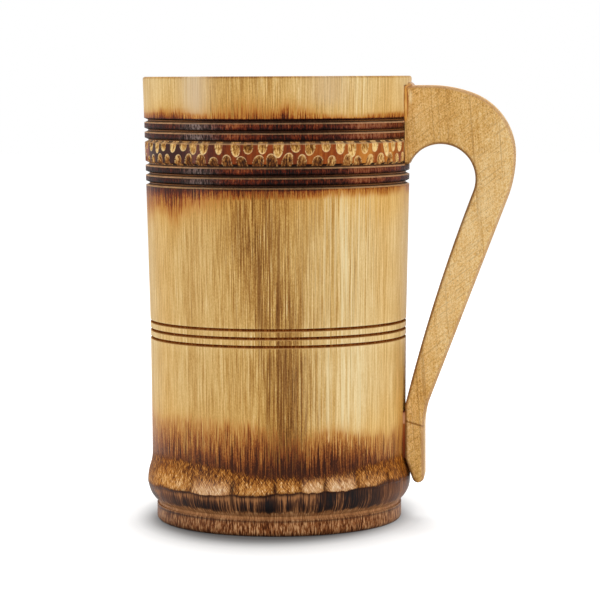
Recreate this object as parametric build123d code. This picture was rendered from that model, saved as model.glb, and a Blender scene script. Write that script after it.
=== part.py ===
from build123d import *
from math import acos, asin, atan, cos, degrees, radians, sin
import os

# Bamboo mug, millimetres. +Z is up, the origin is the middle of the foot
# and the handle points along +X.

# Culm: one length of bamboo, its node at the foot
height = 146.0             # foot to rim
rim_radius = 44.1          # outside, at the rim
rim_flare = 1.9            # rim wider than the fine lines
mid_flare = 0.25           # fine lines wider than the waist above the node
wall = 5.95                # at the waist; the bore is straight
rim_round = 0.8
floor_height = 17.0        # top of the node's cross wall
floor_thickness = 6.0
floor_round = 4.0

# Node swell and foot ring
node_swell = 1.65          # widest part of the swell beyond the waist
node_height = 13.6         # level of the widest part
swell_top = 22.5           # where the swell runs out into the wall
foot_step = 1.45           # foot ring in from the waist
foot_height = 5.6
foot_round = 1.5
foot_ring = 7.5            # width of the ring round the hollow underside
recess_round = 2.0
neck_width = 0.9           # thin groove between the foot and the swell
neck_depth = 0.6

# Turned grooves, one group above and one below the carved band
grooves_per_group = 3
groove_drop = 14.1         # rim to the middle of the first groove
groove_pitch = 3.2
groove_width = 1.45
groove_depth = 1.2
groove_floor = 0.4         # width at the bottom
carved_height = 6.15       # band left standing between the groups

# Fine lines at mid height
line_count = 3
line_height = 63.5         # middle line above the foot
line_pitch = 2.65
line_width = 1.0
line_depth = 0.6
line_floor = 0.2

# Gouge cuts, a row from each edge of the carved band
gouge_count = 56           # cuts in one row
gouge_radius = 1.75
gouge_depth = 1.0          # at the groove end of the cut
upper_gouge_length = 3.7
lower_gouge_length = 2.8

# Joints of the handle
seat_depth = 2.0           # planed flat below the rim's radius
seat_gap = 0.2             # above and below the head
film = 0.15                # glue between flat faces
peg_fit = 0.05             # round a peg
peg_end_gap = 0.3
scribe_gap = 0.25          # between the toe and the node swell
upper_peg_radius = 2.0
upper_peg_pitch = 9.0
upper_peg_in_culm = 3.8
upper_peg_in_handle = 9.0
lower_peg_radius = 1.7
lower_peg_drop = 3.7       # below the top of the landing
lower_peg_in_culm = 3.4
lower_peg_in_handle = 4.0
bead_reach = 2.6           # glue bead along the handle
bead_spread = 3.0          # glue bead over the seat, beside the head
bead_rise = 2.4            # glue bead above the head
lower_glue_drop = 1.9      # top of the lower glue below the top of the landing

# Handle
handle_thickness = 16.0
handle_round = 1.2
head_drop = 3.1            # rim to the top of the head
head_flat = 7.9            # straight stretch on top of the head
handle_reach = 36.1        # seat to the outermost point
knee_drop = 22.9           # top of the head to the outermost point
crown_radius = 40.0        # first arc of the outside, above the finger gap
shin_radius = 38.0         # arc from the outermost point to the arm
arch_radius = 11.3         # top of the finger gap
arch_out = 11.7            # seat to the middle of the arch
arch_below = 4.85          # middle of the arch below the bottom of the head
arm_bow = 3.6              # degrees, inside of the arm at the arch against a straight arm
landing_top = 38.4         # flat that lies on the culm
landing_below_swell = 1.5  # bottom of the landing below the top of the swell
heel_thickness = 6.2
ankle_radius = 30.0        # bend above the heel
ankle_height = 30.0
toe_height = 13.0          # lowest point of the handle
toe_clearance = 1.4        # toe out from the widest part of the node
toe_round = 1.6

overcut = 0.4              # cutters run past the surface they cut

# Radii, levels and places that follow from the sizes above
mid_radius = rim_radius - rim_flare
waist_radius = mid_radius - mid_flare
bore_radius = waist_radius - wall
node_radius = waist_radius + node_swell
foot_radius = waist_radius - foot_step
recess_radius = foot_radius - foot_ring
first_grooves = [height - groove_drop - i * groove_pitch for i in range(grooves_per_group)]
band_top = first_grooves[-1] - groove_width / 2
band_bottom = band_top - carved_height
last_grooves = [band_bottom - groove_width / 2 - i * groove_pitch for i in range(grooves_per_group)]
seat_x = rim_radius - seat_depth
seat_bottom = band_bottom - groove_width
head_x = seat_x + film
stock_back = head_x - 3 * handle_round
head_top = height - head_drop
head_bottom = seat_bottom + seat_gap
arch_x = seat_x + arch_out
arch_z = head_bottom - arch_below
head_middle = (head_top + arch_z + arch_radius) / 2
upper_peg_heights = (head_middle + upper_peg_pitch / 2, head_middle - upper_peg_pitch / 2)
landing_bottom = swell_top - landing_below_swell
lower_peg_height = landing_top - lower_peg_drop


def wall_radius(z):
    # outside of the plain wall: two straight tapers that meet at the fine lines
    if z < line_height:
        return waist_radius + (mid_radius - waist_radius) * (z - swell_top) / (line_height - swell_top)
    return mid_radius + (rim_radius - mid_radius) * (z - line_height) / (height - line_height)


landing_x = wall_radius(landing_top) + film


def swell_edges(offset):
    # outline of the swell from the neck up to the wall, moved out by the offset
    neck = (foot_radius - neck_depth + offset, foot_height + neck_width)
    widest = (node_radius + offset, node_height)
    runout = (waist_radius + offset, swell_top)
    inflection = ((widest[0] + runout[0]) / 2, (widest[1] + runout[1]) / 2)
    return [
        TangentArc(widest, neck, tangent=(0, -1)),
        TangentArc(widest, inflection, tangent=(0, 1)),
        TangentArc(runout, inflection, tangent=(0, -1)),
    ]


def corner(face, x, y):
    return face.vertices().sort_by_distance((x, y, 0))[0]


def groove_section(z, width, depth, floor_width):
    surface = wall_radius(z)
    slope = (width - floor_width) / 2 / depth
    mouth = width / 2 + slope * overcut
    return Polygon(
        (surface - depth, z - floor_width / 2),
        (surface + overcut, z - mouth),
        (surface + overcut, z + mouth),
        (surface - depth, z + floor_width / 2),
        align=None,
    )


def culm_section():
    neck_radius = foot_radius - neck_depth
    neck_top = foot_height + neck_width
    ceiling = floor_height - floor_thickness
    steps = [
        (neck_radius, neck_top),
        (neck_radius, foot_height),
        (foot_radius, foot_height),
        (foot_radius, 0),
        (recess_radius, 0),
        (recess_radius, ceiling),
        (0, ceiling),
        (0, floor_height),
        (bore_radius, floor_height),
        (bore_radius, height),
        (rim_radius, height),
        (mid_radius, line_height),
        (waist_radius, swell_top),
    ]
    face = make_face([Polyline(*steps)] + swell_edges(0))
    rounds = [
        (foot_radius, 0, foot_round),
        (recess_radius, ceiling, recess_round),
        (bore_radius, floor_height, floor_round),
        (bore_radius, height, rim_round),
        (rim_radius, height, rim_round),
    ]
    for x, y, radius in rounds:
        face = fillet(corner(face, x, y), radius)
    for z in first_grooves + last_grooves:
        face -= groove_section(z, groove_width, groove_depth, groove_floor)
    for i in range(line_count):
        z = line_height + (i - (line_count - 1) / 2) * line_pitch
        face -= groove_section(z, line_width, line_depth, line_floor)
    return face


def gouge_cutter(mouth_z, length, way):
    # a round gouge that starts in a groove and rises to the surface; way is +1 up, -1 down
    start_z = mouth_z - way * groove_width / 2
    run = length + groove_width / 2
    rise = gouge_depth / length
    lean = atan(rise)
    surface = wall_radius(mouth_z)
    start_x = surface - rise * run + gouge_radius * cos(lean)
    axis_start = Vector(start_x, 0, start_z - way * gouge_radius * sin(lean))
    along = Vector(sin(lean), 0, way * cos(lean))
    barrel = Cylinder(gouge_radius, run + 2 * gouge_radius, align=(Align.CENTER, Align.CENTER, Align.MIN))
    return Plane(origin=axis_start, z_dir=along) * barrel


def gouge_cuts():
    pitch = 360 / gouge_count
    seat_angle = degrees(acos(seat_x / wall_radius(band_top)))
    upper = gouge_cutter(band_top, upper_gouge_length, -1)
    lower = gouge_cutter(band_bottom, lower_gouge_length, 1)
    cuts = []
    for i in range(gouge_count):
        turn = (i - gouge_count / 2) * pitch
        for cutter, angle in ((upper, turn), (lower, turn + pitch / 2)):
            if abs(angle) > seat_angle:
                cuts.append(Rot(0, 0, angle) * cutter)
    return cuts


def rod(radius, x_start, x_end, z):
    # round bar along X at height z
    bar = Cylinder(radius, x_end - x_start, align=(Align.CENTER, Align.CENTER, Align.MIN))
    return Pos(x_start, 0, z) * Rot(0, 90, 0) * bar


def block(x_range, y_range, z_range):
    size = [end - start for start, end in (x_range, y_range, z_range)]
    low = (Align.MIN, Align.MIN, Align.MIN)
    return Pos(x_range[0], y_range[0], z_range[0]) * Box(*size, align=low)


def upper_peg(z, slack, end_slack):
    return rod(upper_peg_radius + slack, seat_x - upper_peg_in_culm - end_slack,
               head_x + upper_peg_in_handle + end_slack, z)


def lower_peg(slack, end_slack):
    wall = wall_radius(lower_peg_height)
    return rod(lower_peg_radius + slack, wall - lower_peg_in_culm - end_slack,
               landing_x + lower_peg_in_handle + end_slack, lower_peg_height)


def peg_holes():
    holes = [upper_peg(z, peg_fit, peg_end_gap) for z in upper_peg_heights]
    return holes + [lower_peg(peg_fit, peg_end_gap)]


def culm_body():
    body = revolve(Plane.XZ * culm_section(), Axis.Z)
    seat = block((seat_x, rim_radius + overcut), (-rim_radius, rim_radius),
                 (seat_bottom, head_top + seat_gap))
    body -= seat
    return body - gouge_cuts() - peg_holes()


def crossing_tangent(centre_a, radius_a, centre_b, radius_b):
    # ends of the straight line that leaves circle a on its right and passes left of circle b
    across = centre_b - centre_a
    turn = asin((radius_a + radius_b) / across.length)
    along = across.normalized().rotate(Axis.Z, -degrees(turn))
    right = Vector(-along.Y, along.X)
    return centre_a + right * radius_a, centre_b - right * radius_b


def arc_about(centre, start, end):
    # the shorter arc from start to end about the centre
    radius = (start - centre).length
    middle = centre + ((start + end) / 2 - centre).normalized() * radius
    return ThreePointArc(start, middle, end)


def handle_section():
    # the head runs on behind its seat, to be cut off there after its edges are rounded
    outermost = Vector(seat_x + handle_reach, head_top - knee_drop)
    flat_end = Vector(seat_x + head_flat, head_top)
    out = outermost.X - flat_end.X
    down = flat_end.Y - outermost.Y
    # the arc that ends upright at the outermost point and touches the crown arc
    knee_radius = (2 * down * crown_radius - out**2 - down**2) / (2 * (crown_radius - out))
    crown_centre = flat_end - Vector(0, crown_radius)
    knee_centre = outermost - Vector(knee_radius, 0)
    shoulder = crown_centre + (knee_centre - crown_centre).normalized() * crown_radius

    heel = Vector(landing_x + heel_thickness, ankle_height)
    shin_centre = outermost - Vector(shin_radius, 0)
    ankle_centre = heel + Vector(ankle_radius, 0)
    arm_start, arm_end = crossing_tangent(shin_centre, shin_radius, ankle_centre, ankle_radius)

    # a straight arm would touch the arch on its way up from the landing; this one bows inwards
    arch_centre = Vector(arch_x, arch_z)
    landing_high = Vector(landing_x, landing_top)
    span = arch_centre - landing_high
    lean = atan(span.X / span.Y) + asin(arch_radius / span.length) + radians(arm_bow)
    arch_end = arch_centre + Vector(cos(lean), -sin(lean)) * arch_radius
    arch_start = arch_centre - Vector(arch_radius, 0)
    arch_crown = arch_centre + Vector(0, arch_radius)
    toe_inside = Vector(node_radius + toe_clearance, toe_height)
    toe_outside = Vector(heel.X, toe_height)

    outside = [
        Line((stock_back, head_top), flat_end),
        arc_about(crown_centre, flat_end, shoulder),
        arc_about(knee_centre, shoulder, outermost),
        arc_about(shin_centre, outermost, arm_start),
        Line(arm_start, arm_end),
        arc_about(ankle_centre, arm_end, heel),
        Polyline(heel, toe_outside, toe_inside, (landing_x, landing_bottom), landing_high),
    ]
    inside = [
        TangentArc(arch_end, landing_high, tangent=(-sin(lean), -cos(lean))),
        ThreePointArc(arch_end, arch_crown, arch_start),
        Polyline(arch_start, (stock_back, arch_z), (stock_back, head_top)),
    ]
    face = make_face(outside + inside)
    for toe in (toe_inside, toe_outside):
        face = fillet(corner(face, toe.X, toe.Y), toe_round)
    return face


def node_cutter():
    # the swell, grown by the scribe gap, where the toe of the handle passes it
    base = foot_height + neck_width
    grown_neck = foot_radius - neck_depth + scribe_gap
    closing = Polyline((grown_neck, base), (0, base), (0, swell_top), (waist_radius + scribe_gap, swell_top))
    return revolve(Plane.XZ * make_face(swell_edges(scribe_gap) + [closing]), Axis.Z)


def handle():
    half = handle_thickness / 2
    across = (-half - overcut, half + overcut)
    back = stock_back - overcut
    body = extrude(Plane.XZ * handle_section(), half, both=True)
    body = fillet(body.faces().filter_by(Axis.Y).edges(), handle_round)
    behind_seat = block((back, head_x), across, (arch_z - overcut, head_top + overcut))
    under_head = block((back, arch_x - arch_radius / 2), across, (arch_z - overcut, head_bottom))
    return body - [behind_seat, under_head, node_cutter()] - peg_holes()


def upper_glue_bed():
    half = handle_thickness / 2 - handle_round
    bed = block((seat_x, head_x), (-half, half), (head_bottom, head_top - handle_round))
    return bed - peg_holes()


def upper_glue_bead(culm, grip):
    # tapers from the seat to the sides and top of the head, and ends above the first groove
    low = first_grooves[0] + groove_width
    width = handle_thickness
    tall = head_top - low
    wide_end = Pos(0, tall / 2 + bead_rise / 2) * Rectangle(width + 2 * bead_spread, tall + bead_rise)
    slim_end = Pos(0, tall / 2) * Rectangle(width, tall)
    seat_plane = Plane(origin=(seat_x, 0, low), x_dir=(0, 1, 0), z_dir=(1, 0, 0))
    taper = loft([seat_plane * wide_end, seat_plane.offset(bead_reach) * slim_end])
    inset = width / 2 - handle_round
    core = block((seat_x, seat_x + bead_reach), (-inset, inset), (low, head_top - handle_round))
    return taper - [culm, grip, core]


def lower_glue_bed(culm):
    half = handle_thickness / 2 - handle_round
    bed = block((waist_radius - bead_spread, landing_x), (-half, half),
                (landing_bottom, landing_top - lower_glue_drop))
    return bed - culm - lower_peg(peg_fit, peg_end_gap)


def build():
    culm = culm_body()
    grip = handle()
    high_peg, low_peg = upper_peg_heights
    return {
        "culm_body": culm,
        "handle": grip,
        "upper_peg_top": upper_peg(high_peg, 0, 0),
        "upper_peg_bottom": upper_peg(low_peg, 0, 0),
        "lower_peg": lower_peg(0, 0),
        "upper_glue_bed": upper_glue_bed(),
        "upper_glue_bead": upper_glue_bead(culm, grip),
        "lower_glue_bed": lower_glue_bed(culm),
    }


os.makedirs("parts", exist_ok=True)
for name, piece in build().items():
    export_step(piece, f"parts/{name}.step")
    print(name, len(piece.solids()), "solid", round(piece.volume, 2), "mm3")
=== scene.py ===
import bpy
import numpy as np
from mathutils import Matrix


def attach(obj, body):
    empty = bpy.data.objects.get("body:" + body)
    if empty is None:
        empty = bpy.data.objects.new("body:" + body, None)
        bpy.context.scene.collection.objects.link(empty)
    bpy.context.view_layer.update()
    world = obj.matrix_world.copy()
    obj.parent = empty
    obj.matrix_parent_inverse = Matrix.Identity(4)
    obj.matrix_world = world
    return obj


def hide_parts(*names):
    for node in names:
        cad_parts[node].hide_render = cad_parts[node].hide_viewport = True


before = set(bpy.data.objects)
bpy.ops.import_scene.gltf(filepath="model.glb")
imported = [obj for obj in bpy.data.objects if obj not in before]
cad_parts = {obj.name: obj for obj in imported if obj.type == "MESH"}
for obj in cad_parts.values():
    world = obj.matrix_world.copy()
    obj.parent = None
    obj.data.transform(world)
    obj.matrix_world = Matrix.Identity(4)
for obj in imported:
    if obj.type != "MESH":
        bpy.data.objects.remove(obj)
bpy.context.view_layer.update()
mm = 0.001
snap = 0.01  # mm, keeps a row that lies on a corner to its own side of it
print("frame loaded:", ", ".join(sorted(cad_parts)))


# small helpers for shapes, all lengths in mm until the mesh is made

def ease(low, high, x):
    # 0 up to low, 1 from high on, a cubic S between
    t = np.clip((x - low) / (high - low), 0.0, 1.0)
    return t * t * (3.0 - 2.0 * t)


def plateau(start, full, past, end, x):
    # eases up from start to full and down again from past to end
    return ease(start, full, x) * (1.0 - ease(past, end, x))


def hump(x, middle, width):
    # bell curve of height 1 round the middle
    return np.exp(-((x - middle) / width) ** 2)


def humps(x, *bells):
    # sum of bell curves, each given by height, middle and width
    return sum(height * hump(x, middle, width) for height, middle, width in bells)


def wander(angle, seed, first, last, falloff=0.5):
    # closed wavy line round the cup: sum of cosines of whole numbers of waves, about -1 to 1
    rng = np.random.default_rng(seed)
    waves = np.arange(first, last + 1)
    size = waves ** -falloff * rng.normal(size=waves.size)
    shift = rng.uniform(0.0, 2.0 * np.pi, waves.size)
    total = np.tensordot(size, np.cos(waves[:, None] * angle.ravel() + shift[:, None]), 1)
    return (total / np.sqrt(np.sum(size ** 2))).reshape(angle.shape) * 0.7


frontTurn = 5.0  # degrees from -Y to the side that faces the camera


def frontAngle(theta):
    # degrees round the cup from the side that faces the camera, minus to the left
    return (np.degrees(theta) + 270.0 - frontTurn) % 360.0 - 180.0


def circleHeight(radius, x):
    # height of a circle over its middle line at a place across it, 0 outside
    return np.sqrt(np.maximum(radius ** 2 - x ** 2, 0.0))


def turnedGrid(radius, theta, z):
    # points at a radius, an angle and a height
    return np.stack([radius * np.cos(theta), radius * np.sin(theta), z], -1)


def gridFaces(rows, columns, closeRows):
    # four-cornered faces of a grid whose columns run round and close
    row = np.arange(rows if closeRows else rows - 1)[:, None]
    column = np.arange(columns)[None, :]
    below, above = row * columns, (row + 1) % rows * columns
    beside = (column + 1) % columns
    return np.stack([below + column, below + beside, above + beside, above + column], -1).reshape(-1, 4)


def fanFaces(ring, pole, turn):
    # triangles from a ring of points to one point
    after = np.roll(ring, -1)
    middle = np.full_like(ring, pole)
    return np.stack([middle, after, ring] if turn else [ring, after, middle], -1)


def cappedTube(grid):
    # points and faces of a grid of rings whose first and last ring are closed by fans to their middles
    rows, columns = grid.shape[:2]
    firstRing, pole = np.arange(columns), rows * columns
    lastRing = firstRing + (rows - 1) * columns
    points = np.concatenate([grid.reshape(-1, 3), grid[:1].mean(1), grid[-1:].mean(1)])
    fans = np.concatenate([fanFaces(firstRing, pole, True), fanFaces(lastRing, pole + 1, False)])
    return points, gridFaces(rows, columns, False), fans


def makePiece(name, points, quads, triangles, materials, values, slots=None, sharp=35.0):
    # mesh from arrays, turned so that its signed volume is above zero; points past the end of a value get 0
    triangles = np.asarray(triangles, int).reshape(-1, 3)
    halves = np.concatenate([quads[:, [0, 1, 2]], quads[:, [0, 2, 3]], triangles])
    a, b, c = (points[halves[:, i]] for i in range(3))
    if np.einsum("ij,ij->", a, np.cross(b, c)) < 0.0:
        quads, triangles = quads[:, ::-1], triangles[:, ::-1]
    mesh = bpy.data.meshes.new(name)
    mesh.vertices.add(len(points))
    mesh.vertices.foreach_set("co", (points * mm).astype(np.float32).ravel())
    corners = np.concatenate([quads.ravel(), triangles.ravel()]).astype(np.int32)
    starts = np.concatenate([np.arange(len(quads)) * 4, len(quads) * 4 + np.arange(len(triangles)) * 3])
    mesh.loops.add(len(corners))
    mesh.loops.foreach_set("vertex_index", corners)
    mesh.polygons.add(len(starts))
    mesh.polygons.foreach_set("loop_start", starts.astype(np.int32))
    for material in materials:
        mesh.materials.append(material)
    if slots is not None:
        mesh.polygons.foreach_set("material_index", slots.astype(np.int32))
    mesh.update(calc_edges=True)
    mesh.validate()
    for key, value in values.items():
        levels = np.zeros(len(points), np.float32)
        levels[:np.size(value)] = np.ravel(value)
        mesh.attributes.new(key, "FLOAT", "POINT").data.foreach_set("value", levels)
    mesh.polygons.foreach_set("use_smooth", np.ones(len(mesh.polygons), bool))
    mesh.set_sharp_from_angle(angle=np.radians(sharp))
    piece = bpy.data.objects.new(name, mesh)
    bpy.context.scene.collection.objects.link(piece)
    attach(piece, "root")
    print(name, "made:", len(halves), "triangles")
    return piece


# small helpers for materials

def tint(red, green, blue):
    # picture values 0 to 255 to the linear colour that renders as them
    share = np.array([red, green, blue]) / 255.0
    linear = np.where(share <= 0.04045, share / 12.92, ((share + 0.055) / 1.055) ** 2.4)
    return (*linear.tolist(), 1.0)


class Finish:
    # nodes of one material or of the world, and short calls that add to them;
    # where a call takes a value, a name stands for one of the mesh's own values
    def __init__(self, name, sky=False):
        self.owner = (bpy.data.worlds if sky else bpy.data.materials).new(name)
        self.owner.use_nodes = True
        self.tree = self.owner.node_tree
        self.tree.nodes.clear()
        self.place = None if sky else self.node("TexCoord").outputs["Object"]

    def node(self, kind, inputs=None, **settings):
        # new node with its settings and its inputs
        made = self.tree.nodes.new("ShaderNode" + kind)
        for key, value in settings.items():
            setattr(made, key, value)
        for key, value in (inputs or {}).items():
            self.feed(made.inputs[key], value)
        return made

    def feed(self, socket, value):
        # a name becomes an attribute, a socket is linked, anything else is set
        if isinstance(value, str):
            value = self.node("Attribute", attribute_name=value).outputs["Fac"]
        if isinstance(value, bpy.types.NodeSocket):
            self.tree.links.new(value, socket)
        else:
            socket.default_value = value

    def grain(self, across, along, detail=2.0, rough=0.55, source=None, offset=0.0):
        # noise with so many waves per mm across (x and y) and along (z)
        waves = tuple(1000.0 * count for count in (across, across, along))
        shift = (offset, offset * 0.7, offset * 1.3)
        scaled = self.node("Mapping", {"Vector": source or self.place, "Scale": waves, "Location": shift})
        noise = {"Vector": scaled.outputs[0], "Scale": 1.0, "Detail": detail, "Roughness": rough}
        return self.node("TexNoise", noise).outputs["Fac"]

    def vector(self, way, *inputs):
        # one step of vector maths
        return self.node("VectorMath", dict(enumerate(inputs)), operation=way).outputs[0]

    def roll(self, radius):
        # from here on the place is moved straight out to one radius, so an upright fibre keeps its shade
        # all the way up
        flat = self.vector("MULTIPLY", self.place, (1.0, 1.0, 0.0))
        level = self.vector("MULTIPLY", self.place, (0.0, 0.0, 1.0))
        self.place = self.vector("MULTIPLY_ADD", self.vector("NORMALIZE", flat), (radius * mm,) * 3, level)

    def height(self, place):
        # Z of a place
        return self.node("SeparateXYZ", {0: place}).outputs["Z"]

    def twisted(self, lean, radius):
        # the place turned about the axis in step with height, so straight grain leans by so many degrees
        angle = self.times(self.height(self.place), np.tan(np.radians(lean)) / (radius * mm))
        turn = self.node("VectorRotate", {"Vector": self.place, "Angle": angle}, rotation_type="Z_AXIS")
        return turn.outputs["Vector"]

    def tilted(self, turn):
        # the place turned about Y by so many degrees
        turn = (0.0, float(np.radians(turn)), 0.0)
        return self.node("Mapping", {"Vector": self.place, "Rotation": turn}).outputs["Vector"]

    def maths(self, way, first, second=0.0, third=0.0):
        # one step of plain maths
        return self.node("Math", {0: first, 1: second, 2: third}, operation=way).outputs[0]

    def times(self, first, second, plus=0.0):
        # product of two values and what is added to it
        return self.maths("MULTIPLY_ADD", first, second, plus)

    def spread(self, source, low, high, newLow=0.0, newHigh=1.0):
        # one range eased to another
        ends = dict(enumerate((source, low, high, newLow, newHigh)))
        return self.node("MapRange", ends, interpolation_type="SMOOTHSTEP").outputs[0]

    def swing(self, source, amount):
        # noise about zero, so many units strong
        return self.times(source, amount, -0.5 * amount)

    def total(self, *parts):
        # sum of values, where a pair is noise and how strong it swings
        parts = [self.swing(*part) if isinstance(part, tuple) else part for part in parts]
        result = parts[0]
        for part in parts[1:]:
            result = self.maths("ADD", result, part)
        return result

    def ramp(self, source, stops):
        # colour by value; a plain number among the stops is a grey
        made = self.node("ValToRGB", {"Fac": source})
        elements = made.color_ramp.elements
        while len(elements) < len(stops):
            elements.new(0.5)
        for element, (at, colour) in zip(elements, stops):
            element.position = at
            element.color = tint(*colour) if isinstance(colour, tuple) else (colour, colour, colour, 1.0)
        return made.outputs["Color"]

    def mix(self, share, first, second, way="MIX"):
        # second colour over the first by a share, 0 to 1
        first, second = (tint(*side) if isinstance(side, tuple) else side for side in (first, second))
        sides = {0: share, 6: first, 7: second}
        return self.node("Mix", sides, data_type="RGBA", blend_type=way, clamp_factor=True).outputs[2]

    def bump(self, height, distance, strength=1.0):
        # normal over a relief so many mm high
        relief = {"Height": height, "Distance": distance * mm, "Strength": strength}
        return self.node("Bump", relief).outputs["Normal"]

    def close(self, colour, roughness, normal=None, coat=0.0, coatRough=0.03, specular=0.5, coatNormal=None):
        # shader of a finish, with a thin coat where it has some gloss
        inputs = {"Base Color": colour, "Roughness": roughness, "Specular IOR Level": specular,
                  "Coat Weight": coat, "Coat Roughness": coatRough}
        if normal:
            inputs["Normal"] = normal
        if coatNormal:
            inputs["Coat Normal"] = coatNormal
        return self.surface(self.node("BsdfPrincipled", inputs))

    def surface(self, shader, output="OutputMaterial"):
        # shader to output; gives back the material or the world
        self.node(output, {"Surface": shader.outputs[0]})
        return self.owner


# the culm: one length of bamboo

culm = dict(
    height=146.0, rimRadius=44.1, rimRound=0.8, midRadius=42.2, midHeight=63.5, waistRadius=41.95,
    boreRadius=36.0, floorTop=17.0, floorRound=4.0,
    footRadius=40.5, footTop=5.6, footRound=1.5, neckTop=6.5, neckDepth=0.6,
    recessRadius=33.0, recessTop=11.0, recessRound=2.0,
    crestRadius=43.6, crestHeight=13.6, swellTop=22.5,
    grooves=[131.9, 128.7, 125.5, 117.9, 114.7, 111.5], grooveWidth=1.45, grooveDepth=1.2, grooveFloor=0.4,
    lines=[66.15, 63.5, 60.85], lineWidth=1.0, lineDepth=0.6, lineFloor=0.2,
    channelRadius=41.1,  # bed of the carved band
    seatX=42.1, seatLow=117.175, seatHigh=143.1,
    wobble=0.05, wobbleSpan=(23.0, 30.0, 137.0, 144.0), fibreRadius=43.0, columns=420, seed=11,
    # rows of the mesh: rings of the flat stretches, and places across a groove and a line in widths
    ceilingRings=[6.0, 14.0, 22.0, 28.0], footRing=36.0, rimRings=[42.0, 40.0, 38.0],
    boreTop=140.0, boreLow=22.0, boreRows=7, floorRings=[26.0, 18.0, 10.0, 4.0],
    grooveRows=[-1.08, -0.8, -0.66, -0.5, -0.4, -0.3, -0.138, 0.0, 0.138, 0.3, 0.5, 0.64, 0.8],
    lineRows=[-0.66, -0.5, -0.4, -0.3, -0.15, 0.15, 0.5, 0.6],
    stepRows=0.02,  # mm between both rows of a step
    footRows=[4.65, 4.95, 5.25], wallRows=[(6.9, 11.2, 0.6), (11.2, 15.2, 0.25), (15.2, 22.6, 0.55),
                                           (23.5, 59.8, 2.6), (68.0, 109.8, 3.0), (133.2, 145.0, 1.6)],
    # knife facets round the node, by the angle of the cleft on their left
    facetEdges=[-151, -133, -118, -99, -84, -62, -40.5, -20, -1.4, 9.7, 20.2, 36, 55, 70, 113, 128, 146, 163],
    # sheenFacets: share of a painted highlight on each facet, by the angle of its left cleft
    sheenFacets={-40.5: 1.0, -62: 0.1, 9.7: 0.75, 20.2: 1.0, 36: 0.3, 128: 0.8, -118: 0.6}, plainFacet=0.12,
    cleftShares={-84: 0.1, -62: 0.1, -40.5: 0.35, -20: 1.0, -1.4: 0.9, 9.7: 0.35, 20.2: 0.85, 36: 0.4},
    plainCleft=0.5, cleftDepth=0.45, cleftWidth=1.5, cleftLow=12.3, cleftTall=8.5,
    facetDepth=0.5, facetTop=20.6, facetSwell=0.25, facetBow=0.5, facetLift=0.5,
    facetFade=(45.0, 78.0), facetFaded=0.75,  # degrees to the side over which the facets fade, and how far
    edgeHeight=14.4, edgeTilt=1.15, edgeArch=0.35, edgeTorn=0.14,
    edgeStep=0.45, edgeSpan=(0.0, 0.35, 1.2, 5.0))


def plainWall(z):
    # two straight tapers: waist to fine lines, fine lines to rim
    c = culm
    return np.interp(z, [c["swellTop"], c["midHeight"], c["height"]],
                     [c["waistRadius"], c["midRadius"], c["rimRadius"]])


def arcRadius(deep, tall):
    # radius of a circle whose arc falls so deep over so tall a stretch from its crest
    return (deep ** 2 + tall ** 2) / (2.0 * deep)


def swellRadius(z):
    # circle arcs: one under the crest, one over it and its mirror that runs out into the wall
    c = culm
    crest, waist = c["crestRadius"], c["waistRadius"]
    under = arcRadius(crest - (c["footRadius"] - c["neckDepth"]), c["crestHeight"] - c["neckTop"])
    halfWay = (c["swellTop"] - c["crestHeight"]) / 2.0
    over = arcRadius((crest - waist) / 2.0, halfWay)
    away = z - c["crestHeight"]
    low = crest - under + circleHeight(under, away)
    mid = crest - over + circleHeight(over, away)
    top = waist + over - circleHeight(over, c["swellTop"] - z)
    return np.where(z < c["crestHeight"], low, np.where(away < halfWay, mid, top))


def trench(z, middle, width, depth, floor):
    # depth of a turned groove with a flat floor and sloping sides
    side = (width - floor) / 2.0
    return depth * np.clip((width / 2.0 - np.abs(z - middle)) / side, 0.0, 1.0)


def facetPlace(phi):
    # for each angle: number of its knife facet, place across it from -1 to 1 and its half width in degrees
    edges = np.array(culm["facetEdges"], float)
    closed = np.concatenate([edges, [edges[0] + 360.0]])
    turned = (phi - edges[0]) % 360.0 + edges[0]
    number = np.clip(np.searchsorted(closed, turned, side="right") - 1, 0, edges.size - 1)
    half = (closed[number + 1] - closed[number]) / 2.0
    return number, (turned - closed[number]) / half - 1.0, half


def cleftShare(number, across):
    # how deep the cleft nearest to each place is, 0 to 1
    edges = culm["facetEdges"]
    shares = np.array([culm["cleftShares"].get(edge, culm["plainCleft"]) for edge in edges])
    return shares[(number + (across > 0.0)) % len(edges)]


def shavedEdge(phi):
    # height of the sharp edge below the knife facets: lower to the left, higher to the right,
    # bowed down in each facet
    c = culm
    number, across, _ = facetPlace(phi)
    lift = np.random.default_rng(c["seed"]).uniform(-0.5, 0.5, len(c["facetEdges"]))
    torn = c["edgeTorn"] * wander(np.radians(phi), 13, 40, 130, 0.1)
    turn = np.sin(np.radians(phi))
    level = c["edgeHeight"] + c["edgeTilt"] * turn - c["edgeArch"] * turn ** 2
    return level - c["facetBow"] * (1.0 - across ** 2) + c["facetLift"] * lift[number] + torn


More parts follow.
